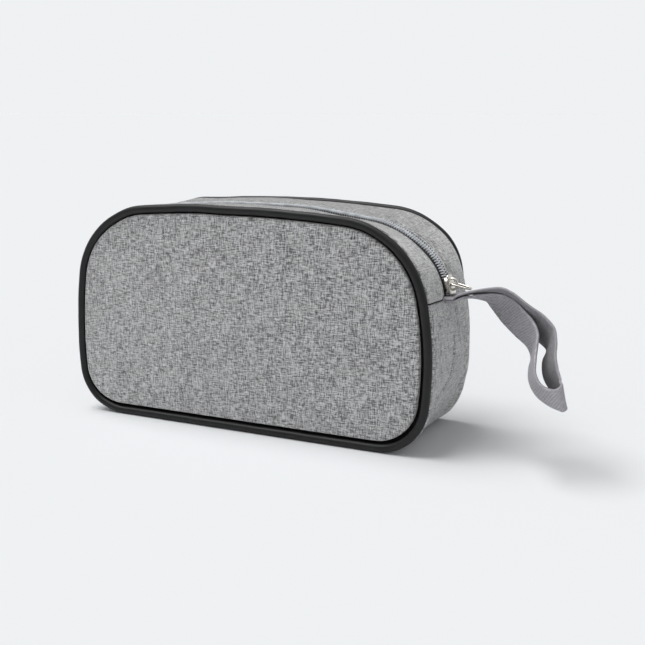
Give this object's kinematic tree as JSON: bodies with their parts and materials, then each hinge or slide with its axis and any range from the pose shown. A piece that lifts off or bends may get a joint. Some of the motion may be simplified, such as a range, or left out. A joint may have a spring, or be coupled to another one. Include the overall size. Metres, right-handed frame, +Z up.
{
  "type": "utility pouch",
  "caption": "Padded fabric pouch with piped oval panels, a gusset, a zip over the top and a folded wrist strap at one end.",
  "frame": {"origin": "centre of the flat base, on the surface that the pouch stands on", "axes": "+X to the pouch's right, where the strap is sewn in; -Y towards the front panel; +Z up"},
  "size_m": [0.3, 0.086, 0.1297],
  "materials": {
    "melange_cloth": "matt woven melange",
    "piping_vinyl": "satin vinyl",
    "piping_cord": "twisted cotton",
    "foam": "open-cell foam",
    "lining": "smooth plain weave",
    "binding_tape": "ribbed tape",
    "zip_tape": "herringbone woven tape",
    "zip_coil": "satin nylon coil",
    "nickel": "polished nickel plate",
    "webbing": "ribbed narrow webbing"
  },
  "bodies": {
    "pouch": {"front_panel": "melange_cloth", "back_panel": "melange_cloth", "base_gusset": "melange_cloth", "zip_strip_front": "melange_cloth", "zip_strip_back": "melange_cloth", "front_piping": "piping_vinyl", "back_piping": "piping_vinyl", "front_piping_cord": "piping_cord", "back_piping_cord": "piping_cord", "front_foam": "foam", "back_foam": "foam", "base_foam": "foam", "front_lining": "lining", "back_lining": "lining", "base_lining": "lining", "zip_strip_front_lining": "lining", "zip_strip_back_lining": "lining", "front_seam_binding": "binding_tape", "back_seam_binding": "binding_tape", "zipper_tape_front": "zip_tape", "zipper_tape_back": "zip_tape", "zipper_coil_front": "zip_coil", "zipper_coil_back": "zip_coil", "strap_tails": "webbing"},
    "slider": {"slider_body": "nickel", "slider_crown": "nickel"},
    "pull": {"slider_pull": "nickel"},
    "strap": {"wrist_strap": "webbing"}
  },
  "joints": [
    {"name": "slider_travel", "type": "hinge", "parent": "pouch", "child": "slider", "pos_m": [0.06022, 0, 0.07439], "axis": [0, -1, 0], "range_deg": [0, 65]},
    {"name": "pull_flip", "type": "hinge", "parent": "slider", "child": "pull", "pos_m": [0.11344, 0, 0.08904], "axis": [0, -1, 0], "range_deg": [0, 105]},
    {"name": "strap_swing", "type": "hinge", "parent": "pouch", "child": "strap", "pos_m": [0.11383, 0, 0.0813], "axis": [0, -1, 0], "range_deg": [-35, 0], "stiffness_Nm_per_rad": 0.1}
  ]
}
